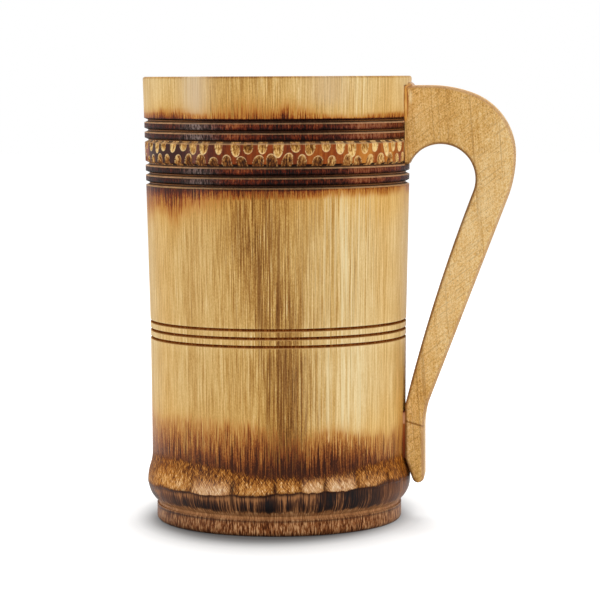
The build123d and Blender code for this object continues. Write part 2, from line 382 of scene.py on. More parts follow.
def outsideRadius(theta, z, carved):
    # height field of the outside: wall or swell, less facets, grooves, lines, the planed seat
    # and a faint wobble
    c = culm
    phi = frontAngle(theta)
    swell = np.where(z < c["swellTop"], swellRadius(z), plainWall(z))
    swell = np.where(z < c["neckTop"] - snap, c["footRadius"] - c["neckDepth"], swell)
    swell = np.where(z < c["footTop"] + snap, c["footRadius"], swell)
    radius = swell - c["wobble"] * (1.0 + wander(theta, 3, 2, 7)) * plateau(*c["wobbleSpan"], z)
    number, across, half = facetPlace(phi)
    edge = shavedEdge(phi)
    share = np.clip((z - edge) / (c["facetTop"] - edge), 0.0, 1.0)
    belly = np.sin(np.pi * share)
    straight = swellRadius(edge) * (1.0 - share) + swellRadius(np.full_like(z, c["facetTop"])) * share
    pillow = c["facetDepth"] * (0.35 + 0.65 * np.abs(across) ** 3) * belly ** 0.7
    shaved = np.minimum(radius, straight + c["facetSwell"] * belly - pillow)
    shaved = np.where((share > 0.0) & (share < 1.0), shaved, radius)
    fromCleft = (1.0 - np.abs(across)) * half * np.radians(1.0) * c["crestRadius"]
    cleft = c["cleftDepth"] * np.clip(1.0 - fromCleft * 2.0 / c["cleftWidth"], 0.0, 1.0)
    cleft = cleft * cleftShare(number, across)
    flat = 1.0 - c["facetFaded"] * ease(*c["facetFade"], np.abs(phi))
    opened = np.sin(np.pi * np.clip((z - c["cleftLow"]) / c["cleftTall"], 0.0, 1.0))
    radius = radius + (shaved - radius) * flat - cleft * opened
    # the dark band sits a little behind the knife edge
    radius = radius - c["edgeStep"] * flat * plateau(*c["edgeSpan"], edge - z)
    for height in c["grooves"]:
        radius = radius - trench(z, height, c["grooveWidth"], c["grooveDepth"], c["grooveFloor"])
    for height in c["lines"]:
        radius = radius - trench(z, height, c["lineWidth"], c["lineDepth"], c["lineFloor"])
    if not carved:
        radius = np.where((z > c["grooves"][3]) & (z < c["grooves"][2]), c["channelRadius"], radius)
    facing = np.maximum(np.cos(theta), 0.5)
    seat = (z > c["seatLow"]) & (z < c["seatHigh"])
    return np.where(seat, np.minimum(radius, c["seatX"] / facing), radius)


# how far the flame reached, by angle from the front: strength and length in mm of a dark edge and of a golden
# tail, and a fade above the node with its power; one tongue leaps up near the front
flame = dict(
    angles=[-110, -73, -60, -48, -36, -24, -12, 0, 10, 23, 39, 55, 69, 110],
    above=dict(edge=[0.6, 0.4, 0.54, 0.5, 0.35, 0.2, 0.15, 0.3, 0.35, 0.25, 0.2, 0.45, 0.45, 0.6],
               short=[0.6] * 14,
               tail=[0.35, 0.3, 0.49, 0.45, 0.2, 0.28, 0.33, 0.33, 0.38, 0.15, 0.15, 0.25, 0.25, 0.35],
               reach=[3.5, 2.9, 2.9, 2.9, 4.0, 8.0, 9.0, 5.0, 5.0, 4.0, 4.0, 3.0, 3.0, 3.5]),
    below=dict(edge=[0.8, 0.5, 0.75, 0.8, 1.1, 1.4, 2.0, 2.2, 2.0, 0.6, 0.5, 0.5, 0.25, 0.8],
               short=[1.2, 1.0, 2.6, 1.8, 0.9, 0.7, 0.5, 0.55, 0.5, 0.7, 0.9, 0.9, 1.0, 1.2],
               tail=[0.3, 0.75, 0.82, 0.54, 0.42, 0.34, 0.22, 0.3, 0.24, 0.12, 0.17, 0.19, 0.12, 0.3],
               reach=[8.0, 7.0, 4.5, 8.0, 8.0, 9.0, 6.0, 5.0, 6.0, 5.0, 4.0, 5.0, 5.0, 8.0]),
    foot=dict(strong=[0.88, 0.74, 0.82, 0.88, 0.88, 0.95, 0.92, 0.9, 0.88, 0.92, 0.94, 0.64, 0.5, 0.88],
              reach=[20.5, 21.0, 20.5, 20.5, 20.0, 20.0, 19.0, 17.5, 15.5, 17.0, 15.0, 14.5, 16.5, 20.5],
              power=[1.35, 1.3, 1.3, 1.35, 1.35, 1.3, 1.3, 1.3, 1.4, 1.45, 1.6, 1.5, 1.25, 1.35]),
    footFrom=22.6, footFray=1.6, fray=0.2, tongue=(0.55, 3.5, 1.5), tongueReach=2.6)

# shades by angle from the front: a plain level and bells of height, middle and width
shades = dict(
    wall=0.595,
    wallBells=[(-0.03, -38.0, 13.0), (0.03, 34.0, 14.0), (0.08, -66.0, 16.0), (-0.05, -20.0, 7.0)],
    # painted highlight: underRim's bell at -62 and lowWall's bell at 32; painted shadow of the handle:
    # lowWall's dip at 74
    underRim=[(0.035, 34.0, 14.0), (0.08, -62.0, 20.0), (-0.02, -24.0, 7.0)],
    lowWall=[(0.155, 32.0, 18.0), (0.05, -40.0, 22.0), (-0.16, 74.0, 9.0)],
    ridge=0.48,
    # painted highlight: ridgeBells' bell at 40 on the right
    ridgeBells=[(-0.12, -60.0, 20.0), (0.27, -16.0, 8.0), (0.44, 40.0, 13.0), (0.12, 58.0, 9.0)],
    duskHeights=[34.0, 48.0, 66.0, 80.0, 92.0], duskMiddles=[5.0, 4.0, 0.0, -4.0, -9.0],
    duskLeft=12.0, duskRight=13.5,
    goldFlames=[(0.6, 131.0, 9.0), (0.5, 36.0, 9.0)],  # by height
    # painted highlight: where the ridges get the grey gleam
    gleam=[(1.0, -35.0, 7.5), (0.2, 42.0, 14.0)],
    tallFacets=[(1.1, -24.0, 10.0), (0.8, -56.0, 16.0)],
    soot=[(0.3, 1.0, 1.0), (-0.17, 4.0, 1.6)],  # by distance under the knife edge
    # neck: a dark line just under the foot's top, and painted shade along the foot's bottom edge
    neck=[(0.9, 4.95, 0.32), (1.0, 0.0, 1.1)])  # by height


def burntRange():
    # lowest and highest level of the burnt rings
    half = culm["grooveWidth"] / 2.0
    return culm["grooves"][5] - half, culm["grooves"][0] + half


def byAngle(phi, table, *keys):
    # rows of a flame table at each angle, straight between their places
    return (np.interp(phi, flame["angles"], table[key]) for key in keys)


def burntFrom(away, phi, side):
    # sum of two exponentials of the distance from the burnt rings
    edge, short, tail, reach = byAngle(phi, side, "edge", "short", "tail", "reach")
    return edge * np.exp(-away / short) + tail * np.exp(-away / reach)


def heatAt(theta, z):
    # how near the flame was: two exponentials above and below the burnt rings, a power fade above the node
    phi = frontAngle(theta)
    low, top = burntRange()
    over, under = np.maximum(z - top, 0.0), np.maximum(low - z, 0.0)
    above = burntFrom(over / (1.0 + flame["fray"] * wander(theta, 21, 5, 60, 0.35)), phi, flame["above"])
    below = burntFrom(under / (1.0 + flame["fray"] * wander(theta, 22, 5, 60, 0.35)), phi, flame["below"])
    above = above + humps(phi, flame["tongue"]) * np.exp(-over / flame["tongueReach"])
    strong, reach, power = byAngle(phi, flame["foot"], "strong", "reach", "power")
    reach = reach + flame["footFray"] * wander(theta, 23, 4, 40, 0.4)
    foot = strong * np.clip(1.0 - (z - flame["footFrom"]) / reach, 0.0, 2.0) ** power
    near = np.where(z > top, above, np.where(z < low, np.maximum(below, foot), 1.0))
    return np.clip(near, 0.0, 1.0)


def ridgeAt(theta, z):
    # lightness of the burnt ridges: it drifts round the cup, and each ridge is dark at both edges,
    # most at the lower one; these dark edges are painted shade where the ridge turns into the grooves, and
    # the lighter stretch on the right is painted highlight
    wide = culm["grooveWidth"]
    light = shades["ridge"] + humps(frontAngle(theta), *shades["ridgeBells"])
    light = light + 0.1 * wander(theta, 24, 3, 40) - 0.1 * (z < culm["grooves"][3])
    for height in culm["grooves"]:
        light = light - humps(z, (0.3, height + 0.55 * wide, 0.3), (0.16, height - 0.6 * wide, 0.2))
    return light


def lipAt(z, heights, width):
    # 1 on the lower edge of each turned groove, where the cut shows raw wood, brightened further as a painted
    # highlight where the slope faces up; gone part of the way down its slope
    places, levels = [-0.66, -0.5, -0.4, -0.3, -0.138], [0.0, 1.0, 1.0, 0.45, 0.0]
    return np.max([np.interp((z - height) / width, places, levels) for height in heights], axis=0)


def duskAt(theta, z):
    # 1 in the middle of the dark band at the front, which moves to the right going down and is weaker
    # above the ridges
    phi = frontAngle(theta)
    middle = np.interp(z, shades["duskHeights"], shades["duskMiddles"])
    wide = np.where(phi > middle, shades["duskRight"], shades["duskLeft"])
    return hump(phi, middle, wide) * (1.0 - 0.65 * ease(100.0, 132.0, z))


def toneAt(theta, z):
    # lightness of the wall by angle: darker band at the front, paler strips beside it, drifting a little
    # with height, a paler stretch at the fine lines and a dark rim. The lighter right side and the paler
    # bells at the top left and low on the right are painted highlight; the dip low beside the lower joint is
    # painted shadow of the handle
    phi = frontAngle(theta) + 1.6 * np.sin(z / 31.0)
    high, low = ease(131.0, 136.0, z), 1.0 - ease(52.0, 66.0, z)
    # the rise towards the right is painted highlight
    tone = shades["wall"] + humps(phi, *shades["wallBells"]) + 0.14 * ease(35.0, 62.0, phi)
    tone = tone - (0.3 + 0.055 * low) * duskAt(theta, z)
    tone = tone + high * humps(phi, *shades["underRim"]) + low * humps(phi, *shades["lowWall"])
    tone = tone - 0.07 * hump(phi, 11.0, 7.0) * ease(84.0, 104.0, z) * (1.0 - high)
    tone = tone - 0.04 * hump(phi, 13.0, 5.0) * hump(z, 95.0, 14.0)
    tone = tone + 0.07 * hump(phi, -4.0, 16.0) * ease(136.0, 141.0, z)
    tone = tone + ease(80.0, 110.0, np.abs(phi)) * (0.14 * wander(theta, 31, 3, 16) - 0.06)
    tone = tone + 0.03 * wander(theta, 32, 8, 40) + 0.06 * plateau(59.0, 60.0, 66.5, 67.5, z)
    return tone - 0.3 * ease(culm["height"] - 0.9, culm["height"] - 0.2, z)


def goldAt(theta, z):
    # 1 where the wall is a deeper gold: strips near both sides, beside the flames and by the lower joint,
    # where the gold low on the right is a painted reflection of the handle
    phi = frontAngle(theta)
    strips = 0.7 * hump(phi, -60.0, 9.0) * (1.0 - 0.7 * ease(134.0, 143.0, z)) + 0.6 * hump(phi, 56.0, 9.0)
    # painted reflection: warm gold low beside the handle's lower joint
    strips = strips + 0.9 * hump(phi, 72.0, 8.0) * (1.0 - ease(38.0, 60.0, z))
    flames = (0.9 + 0.5 * ease(20.0, 45.0, phi)) * hump(z, 108.0, 8.0)
    flames = flames + humps(z, *shades["goldFlames"])
    flames = flames + 0.8 * hump(z, 30.0, 8.0) * plateau(25.0, 48.0, 80.0, 100.0, phi)
    return np.clip(strips + flames, 0.0, 1.4)


def culmMarks(theta, z):
    # what the finishes read at each point: bells and eased steps of the angle, the height and the facets
    c = culm
    phi = frontAngle(theta)
    number, across, half = facetPlace(phi)
    over = z - shavedEdge(phi)  # from the knife edge up
    pale = np.array([c["sheenFacets"].get(place, c["plainFacet"]) for place in c["facetEdges"]])[number]
    domed = 1.0 - across ** 4
    sides = ease(10.0, 55.0, np.abs(phi + 4.0))
    soft = ease(40.0, 58.0, np.abs(phi + 3.0))  # towards both sides the facets run out without an edge
    front, right, upper = 1.0 - ease(8.0, 24.0, phi), ease(36.0, 52.0, phi), ease(70.0, 100.0, z)
    wide = c["grooveWidth"]
    inGroove = sum(trench(z, height, wide, 1.0, c["grooveFloor"]) for height in c["grooves"])
    floors = sum(np.interp((z - height) / wide, [-0.3, -0.138, 0.0, 0.138, 0.3], [0.0, 0.1, 1.0, 0.8, 0.0])
                 for height in c["grooves"])
    grooveLips = (0.4 + 0.6 * sides) * lipAt(z, c["grooves"], wide)
    # painted highlight: pale streaks on the right and at the top left; plain pale streaks at the back
    silver = hump(phi, 32.0, 15.0) * (0.15 + 0.85 * ease(27.0, 41.0, z))
    silver = silver * (1.0 - 0.55 * ease(131.0, 135.0, z)) + 0.4 * ease(95.0, 110.0, np.abs(phi))
    silver = silver + 0.9 * hump(phi, -37.0, 7.0) * ease(133.0, 136.0, z)
    # painted highlight: pale patch near the top on the left and a weaker one right of the front
    haze = 0.75 * hump(phi, -36.0, 6.5) + 0.4 * hump(phi, 22.0, 9.0) * ease(134.0, 140.0, z)
    tall = 3.6 * ease(8.0, 55.0, np.abs(phi - 6.0)) + humps(phi, *shades["tallFacets"])
    gleam = humps(phi, *shades["gleam"]) * (1.0 - np.clip(inGroove * 2.0, 0.0, 1.0))
    # painted shade: a dark line just under the knife edge and along the bottom of facets without sheen
    edgeLine = 0.5 * hump(-over, 0.4, 0.45) + 0.75 * (1.0 - pale) * hump(over, 0.1, 0.5)
    # painted shade: dark clefts between the facets
    gaps = np.clip(1.3 - (1.0 - np.abs(across)) * half / 1.1, 0.0, 1.0) * cleftShare(number, across)
    sooty = front * humps(-over, *shades["soot"]) - 0.17 * (1.0 - front) * (1.0 - right)
    uneven = z + 0.5 * wander(theta, 41, 10, 90, 0.2)  # the turned foot ends in a ragged line
    return dict(
        tone=toneAt(theta, z), dusk=duskAt(theta, z), gold=goldAt(theta, z), scorch=heatAt(theta, z),
        ridge=ridgeAt(theta, z), silver=silver, haze=ease(128.0, 133.0, z) * haze,
        amber=upper * (0.6 + 0.4 * hump(phi, -60.0, 18.0) + 0.3 * ease(20.0, 45.0, phi)),
        frayed=1.0 - 0.45 * upper * (1.0 - 0.6 * hump(phi, -58.0, 16.0)),
        lip=np.maximum(grooveLips, 0.7 * lipAt(z, c["lines"], c["lineWidth"])),
        # trench and open place the painted shade in the grooves
        trench=inGroove, open=floors * (0.4 + 0.7 * sides),
        gleam=gleam * (1.0 - 0.35 * (z < c["grooves"][3])),
        shaved=ease(-0.8 * soft, 0.3 + 1.8 * soft, over) * (1.0 - ease(16.8, 21.6, z - tall)),
        dark=ease(-0.1 - 1.4 * soft, 0.2 + 1.6 * soft, -over) * (z > c["footTop"]),
        # painted shading: each facet lighter in its lower middle, the left facet in its middle
        pillow=(domed * hump(over, 1.6, 2.5) * (1.0 - 0.6 * soft)
                + 1.1 * hump(phi, -58.0, 13.0) * hump(over, 3.6, 3.2)),
        # painted highlight: shine on the sheen facets, low in each facet's middle
        shine=pale * domed * hump(over, 1.4, 2.6),
        cleft=np.maximum((1.0 - 0.7 * soft) * edgeLine, gaps * plateau(8.5, 11.5, 15.5, 19.5, z)),
        # dark line under the foot's top, darker on the left, and painted shade at the foot's bottom edge
        neck=humps(z, *shades["neck"]) + 0.3 * hump(phi, -62.0, 24.0) * (z < c["footTop"]),
        under=sooty + 0.06 * hump(phi, 2.0, 8.0) + 0.08 * right,
        # painted light: the foot lighter towards the right
        sunny=0.015 + 0.05 * ease(-30.0, 40.0, phi),
        # ledge: painted highlight on the foot's top edge and the neck
        ledge=ease(5.2, 5.6, z) * (1.0 - ease(7.0, 8.6, uneven)), turned=1.0 - ease(6.6, 9.4, uneven))


def culmHeights():
    # levels of the rows up the outside, close together where the profile bends
    c = culm
    step = c["stepRows"]
    foot = [*np.linspace(c["footRound"], 4.3, 4), *c["footRows"], c["footTop"]]
    neck = [c["footTop"] + 0.03, c["footTop"] + 0.3, c["neckTop"] - 0.1, c["neckTop"] + step]
    walls = [np.arange(*run) for run in c["wallRows"]]
    cuts = (np.array(c["grooves"])[:, None] + np.array(c["grooveRows"]) * c["grooveWidth"]).ravel()
    lines = (np.array(c["lines"])[:, None] + np.array(c["lineRows"]) * c["lineWidth"]).ravel()
    bedLow, bedHigh = c["grooves"][3], c["grooves"][2]
    bed = [bedLow, bedLow + step, bedHigh - step, bedHigh]
    seat = [c["seatHigh"] - step, c["seatHigh"] + step, c["height"] - c["rimRound"]]
    levels = np.unique(np.concatenate([foot, neck, *walls, cuts, lines, bed, seat]))
    return levels[(levels < bedLow + step + snap) | (levels > bedHigh - step - snap)]


def buildCulm(materials):
    # one profile from the middle of the underside up the outside, over the rim and down to the floor inside,
    # turned about the axis; the outside stretch takes its radius from the height field
    c = culm
    quarter = np.linspace(0.0, np.pi / 2.0, 6)
    falling, rising = 1.0 - np.sin(quarter), 1.0 - np.cos(quarter)  # 1 to 0 and 0 to 1 round a quarter

    def stretch(radius, height):
        # radii and heights of one stretch, either of which may be the same all along
        return np.stack(np.broadcast_arrays(radius, height), -1)

    recess, bore, top = c["recessRadius"], c["boreRadius"], c["height"]
    under = np.concatenate([
        stretch(c["ceilingRings"], c["recessTop"]),
        stretch(recess - c["recessRound"] * falling, c["recessTop"] - c["recessRound"] * rising),
        [(recess, 4.0), (recess, 0.3), (recess + 0.3, 0.0), (c["footRing"], 0.0)],
        stretch(c["footRadius"] - c["footRound"] * falling, c["footRound"] * rising)[:-1]])
    rim = np.concatenate([
        stretch(c["rimRadius"] - c["rimRound"] * rising, top - c["rimRound"] * falling)[1:],
        stretch(c["rimRings"], top),
        stretch(bore + c["rimRound"] * falling, top - c["rimRound"] * rising)])
    inside = np.concatenate([
        stretch(bore, np.linspace(c["boreTop"], c["boreLow"], c["boreRows"])),
        stretch(bore - c["floorRound"] * rising, c["floorTop"] + c["floorRound"] * falling),
        stretch(c["floorRings"], c["floorTop"])])
    theta = np.linspace(-np.pi, np.pi, c["columns"], endpoint=False)
    levels = culmHeights()
    height = np.concatenate([under[:, 1], levels, rim[:, 1], inside[:, 1]])
    tGrid, zGrid = np.meshgrid(theta, height)
    rings = [np.repeat(part[:, :1], theta.size, 1) for part in (under, rim, inside)]
    outside = outsideRadius(*np.meshgrid(theta, levels), carved=False)
    radius = np.concatenate([rings[0], outside, rings[1], rings[2]])
    # finish of each row of faces: 0 skin, 1 end grain, 2 inside, 3 burnt rings, 4 fine lines
    footRows, rimRows = quarter.size - 1, quarter.size - 2
    kind = np.repeat([1, 0, 1, 2], [len(under) - footRows, footRows + len(levels) + rimRows,
                                    len(rim) - rimRows - 1, len(inside) + 1])
    lowest, highest = burntRange()
    kind = np.where((kind == 0) & (height > lowest - snap) & (height < highest - snap), 3, kind)
    fromLine = (height[:, None] - np.array(c["lines"])) / c["lineWidth"] + snap
    kind = np.where((kind == 0) & np.any(np.abs(fromLine) < 0.5, 1), 4, kind)
    slots = np.repeat(np.append(kind[:-1], [1, 2]), theta.size)
    tube = cappedTube(turnedGrid(radius, tGrid, zGrid))
    return makePiece("bamboo_culm", *tube, materials, culmMarks(tGrid, zGrid), slots)


# the carved band: gouge cuts from both edges of the band, each a hollow that runs out at the surface;
# uneven says how much their place, lean, length, depth and radius differ

band = dict(count=56, radius=1.75, depth=1.05, upperLength=3.25, lowerLength=2.75, seed=8,
            uneven=[0.32, 0.09, 0.16, 0.15, 0.1], floorPower=1.9, columns=1176, rows=52, innerRadius=41.3,
            slopeRows=[0.0, 0.14, 0.33, 0.5])  # rows on the slope of a groove, in widths


def gougeDepth(theta, z, mouth, way, length, offset, seed):
    # deepest of three neighbouring cuts, and how far along it: a round hollow whose floor rises
    # from the mouth to its tip
    count, pitch = band["count"], 2.0 * np.pi / band["count"]
    jitter = np.random.default_rng(seed).normal(size=(5, count)) * np.array(band["uneven"])[:, None]
    nearest = np.round(theta / pitch - offset).astype(int)
    deepest, tip = np.zeros_like(theta), np.zeros_like(theta)
    for step in (-1, 0, 1):
        shift, lean, longer, deeper, wider = jitter[:, (nearest + step) % count]
        along = (mouth - z) * way
        away = (theta - (nearest + step + offset) * pitch) * plainWall(z) - shift - along * lean
        share = along / (length * (1.0 + longer))
        bow = band["radius"] * (1.0 + wider)
        rise = band["depth"] * (1.0 + deeper) * (1.0 - np.clip(share, 0.0, 1.5) ** band["floorPower"])
        hollow = np.where(np.abs(away) < bow, rise - (bow - circleHeight(bow, away)), 0.0)
        tip = np.where(hollow > deepest, np.clip(share, 0.0, 1.0), tip)
        deepest = np.maximum(deepest, hollow)
    return deepest, tip


def buildBand(material):
    # closed ring: outer face is the height field less the gouge cuts, inner face a plain cylinder
    # in the culm's bed
    c = culm
    low, high, wide, deep = c["grooves"][3], c["grooves"][2], c["grooveWidth"], c["grooveDepth"]
    theta = np.linspace(-np.pi, np.pi, band["columns"], endpoint=False)
    slopes = np.array(band["slopeRows"]) * wide
    middle = np.linspace(low + slopes[-1], high - slopes[-1], band["rows"] - 6)
    t, z = np.meshgrid(theta, np.unique(np.concatenate([low + slopes, middle, high - slopes])))
    plain, full = outsideRadius(t, z, carved=True), plainWall(z)
    upper, upperTip = gougeDepth(t, z, high - wide / 2.0, 1.0, band["upperLength"], 0.0, band["seed"])
    lower, lowerTip = gougeDepth(t, z, low + wide / 2.0, -1.0, band["lowerLength"], 0.5, band["seed"] + 1)
    cut, tip = np.maximum(upper, lower), np.where(upper > lower, upperTip, lowerTip)
    carved = np.maximum(np.minimum(plain, full - cut), full - deep)
    radius = np.where(plain < full - deep * 0.98, plain, carved)
    inner = turnedGrid(band["innerRadius"], t[:2], np.repeat([[high], [low]], theta.size, 1))
    points = np.concatenate([turnedGrid(radius, t, z), inner])
    phi = frontAngle(t)
    fromTop = (high - z) / wide
    darkSkin = 0.52 + 0.48 * hump(phi, -52.0, 24.0) - 0.2 * plateau(12.0, 45.0, 55.0, 85.0, phi)
    fresh = 0.28 * ease(0.0, 50.0, phi) + 0.13 * hump(phi, -62.0, 22.0) + 0.12 * wander(t, 52, 6, 50)
    values = dict(
        upperCut=ease(0.02, 0.12, upper), lowerCut=ease(0.02, 0.12, lower), cutDepth=cut, fresh=fresh,
        # cutEdge is a painted highlight at the cut tips, cutSide painted shade along the cut sides,
        # grooveShade painted shade on the groove slopes
        cutEdge=hump(cut, 0.1, 0.09) * (cut > 0.01) * (0.45 + 0.55 * ease(0.3, 0.8, tip)),
        cutSide=hump(cut, 0.2, 0.1) * (1.0 - ease(0.35, 0.75, tip)),
        lip=np.maximum(lipAt(z, [high], wide), 0.75 * plateau(0.1, 0.2, 0.1, 0.3, fromTop)),
        skin=darkSkin + 0.16 * wander(t, 51, 3, 30),
        grooveShade=np.clip((full - plain) / deep, 0.0, 1.0) * (cut < 0.05))
    quads = gridFaces(len(points), theta.size, True)
    return makePiece("carved_band", points.reshape(-1, 3), quads, [], [material], values, sharp=50.0)


# finishes of the bamboo

def skinFinish():
    # golden skin with fine upright fibres, flame streaks, torn fibres on the node, a dark band under it
    # and a brown foot
    f = Finish("bamboo_skin")
    f.roll(culm["fibreRadius"])
    fine = f.grain(3.4, 0.1, 2.0, 0.5)
    long = f.grain(2.8, 0.025, offset=5.0)
    mid = f.grain(0.75, 0.014, offset=3.0)
    broad = f.grain(0.2, 0.01, 1.0, offset=7.0)
    dash = f.grain(2.4, 0.25, 2.0, 0.6, offset=11.0)
    dust = f.grain(3.0, 1.6, 2.0, 0.6, offset=47.0)
    thin = f.grain(2.8, 0.06, 3.0, 0.65, offset=17.0)
    hair = f.times(f.total((fine, 0.75), (long, 0.6), (dust, 0.35)), f.times("dusk", 0.8, 1.0))
    tone = f.total("tone", hair, (mid, 0.14), (broad, 0.16))
    wood = f.ramp(tone, [(0.02, (98, 58, 24)), (0.25, (152, 105, 50)), (0.46, (190, 146, 78)),
                         (0.66, (218, 180, 114)), (0.95, (244, 221, 170))])
    # gold is deeper gold, and low beside the lower joint a painted reflection of the handle
    wood = f.mix(f.times("gold", 0.5), wood, f.mix(1.0, wood, (255, 236, 190), "MULTIPLY"))
    # dark streaks in the dusky front; pale streaks painted as a highlight to the right of it and at the top
    # left, plain pale streaks at the back
    streak = f.spread(f.grain(1.5, 0.02, 3.0, 0.6, offset=41.0), 0.5, 0.64, 0.0, 0.7)
    wood = f.mix(f.times(streak, "dusk"), wood, (112, 66, 30))
    silver = f.spread(f.grain(2.4, 0.016, 2.0, 0.5, offset=43.0), 0.46, 0.66, 0.0, 0.75)
    wood = f.mix(f.times(silver, "silver"), wood, (242, 226, 180))
    # painted highlight: pale grey sheen patch near the top
    wood = f.mix("haze", wood, (213, 186, 150))
    # flames: each fibre burns to its own length
    ragged = f.times(f.total((thin, 1.5), (dash, 0.6), (mid, 0.35)), f.spread("scorch", 0.04, 0.45))
    burn = f.times(ragged, "frayed", "scorch")
    singed = f.times(f.total((fine, 2.4), (dust, 0.8)), f.spread(burn, 0.12, 0.5), burn)
    char = f.ramp(singed, [(0.05, (220, 172, 100)), (0.16, (204, 148, 78)), (0.3, (178, 115, 54)),
                           (0.55, (138, 75, 35)), (0.8, (97, 50, 25)), (1.0, (54, 27, 16))])
    golden = f.ramp(singed, [(0.05, (214, 165, 82)), (0.18, (194, 131, 52)), (0.32, (168, 98, 33)),
                             (0.46, (146, 72, 22)), (0.6, (120, 48, 15)), (0.78, (86, 32, 10)),
                             (1.0, (48, 18, 7))])
    colour = f.mix(f.spread(burn, 0.02, 0.3), wood, f.mix("amber", char, golden), "DARKEN")
    # raw wood on the lower lips, partly a painted highlight
    colour = f.mix(f.times("lip", f.spread(dash, 0.3, 0.6, 0.4, 1.0)), colour, (222, 180, 118))
    # dark band under the node: brown and blue-black streaks
    sooty = f.total(f.times(thin, 2.4, -0.68), (mid, 0.8), (dash, 1.6), (broad, 2.0), "under")
    soot = f.ramp(sooty, [(0.12, (24, 20, 21)), (0.34, (52, 33, 25)), (0.54, (76, 47, 32)),
                          (0.74, (112, 72, 46)), (0.98, (164, 112, 70))])
    soot = f.mix(f.times("gold", f.spread(thin, 0.35, 0.6, 0.2, 0.8)), soot, (122, 68, 32))
    colour = f.mix("dark", colour, soot)
    # torn fibres on the shaved node, with painted shading across each facet and a painted highlight on the
    # sheen facets
    left = f.grain(2.1, 0.5, 3.0, 0.75, f.twisted(34.0, culm["fibreRadius"]), 23.0)
    right = f.grain(2.1, 0.5, 3.0, 0.75, f.twisted(-30.0, culm["fibreRadius"]), 29.0)
    # painted shading from pillow, painted highlight from shine
    fuzz = f.total((left, 1.7), (right, 1.6), (dash, 1.0), f.times("shine", 0.2, 0.25),
                   f.times("pillow", 0.24), f.spread("shaved", 0.2, 0.95, -0.26, 0.0))
    torn = f.ramp(fuzz, [(0.02, (62, 30, 10)), (0.26, (124, 68, 22)), (0.46, (178, 114, 44)),
                         (0.66, (206, 146, 72)), (0.95, (246, 212, 164))])
    # painted highlight: pinkish white sheen on the sheen facets
    facetSheen = f.mix(0.5, torn, (214, 182, 156))
    torn = f.mix(f.times("shine", f.spread(left, 0.3, 0.6, 0.25, 0.9)), torn, facetSheen)
    torn = f.mix(f.times("gold", 0.8), torn, f.mix(1.0, torn, (255, 236, 178), "MULTIPLY"))
    shaved = f.spread(f.total("shaved", (thin, 1.4), (dash, 0.6), (left, 0.6)), 0.2, 0.85)
    shaved = f.times(shaved, f.spread("shaved", 0.0, 0.12))
    colour = f.mix(shaved, colour, torn)
    # painted shade in the clefts and along the knife edge
    colour = f.mix(f.times("cleft", f.spread(dash, 0.3, 0.6, 0.45, 1.0)), colour, (44, 24, 16))
    # turned foot: brown with short pale strokes, lighter to the right as painted light, a painted highlight
    # on the ledge at its top, and painted shade along its bottom edge
    stroke = f.grain(2.6, 0.4, 3.0, 0.65, offset=37.0)
    footWood = f.ramp(f.total(f.times(stroke, 3.0, -0.98), (mid, 0.5), (broad, 0.4), "sunny"),
                      [(0.18, (62, 28, 10)), (0.42, (108, 59, 28)), (0.6, (140, 82, 43)),
                       (0.92, (206, 156, 108))])
    colour = f.mix(f.spread(f.total("turned", (dash, 0.8)), 0.35, 0.65), colour, footWood)
    # painted highlight on the ledge at the top of the foot
    ledgeHighlight = f.ramp(f.total(f.times(stroke, 1.4, -0.2), (broad, 0.4)),
                       [(0.2, (116, 76, 44)), (0.5, (164, 114, 72)), (0.85, (198, 150, 104))])
    colour = f.mix(f.times("ledge", f.spread(dash, 0.3, 0.6, 0.6, 0.95)), colour, ledgeHighlight)
    # dark line under the foot's top and painted shade at its bottom edge
    colour = f.mix(f.times("neck", 0.75), colour, (46, 26, 16))
    rough = f.times(shaved, 0.2, f.spread(long, 0.3, 0.7, 0.38, 0.52))
    relief = f.total((long, 0.5), (mid, 0.5), f.times(shaved, f.swing(left, 2.6)))
    return f.close(colour, rough, f.bump(relief, 0.1, 0.7), coat=0.03, coatRough=0.3, specular=0.07)


def lineFinish():
    # fine turned lines: burnt red brown, raw wood at the lower lip that is partly a painted highlight, no
    # gloss
    f = Finish("bamboo_line")
    f.roll(culm["fibreRadius"])
    dash = f.grain(2.4, 0.25, 2.0, 0.6, offset=11.0)
    colour = f.ramp(dash, [(0.3, (70, 26, 4)), (0.5, (104, 48, 11)), (0.7, (150, 90, 38))])
    colour = f.mix(f.times("lip", 0.9), colour, (214, 160, 92))
    return f.close(colour, 0.8, specular=0.0)


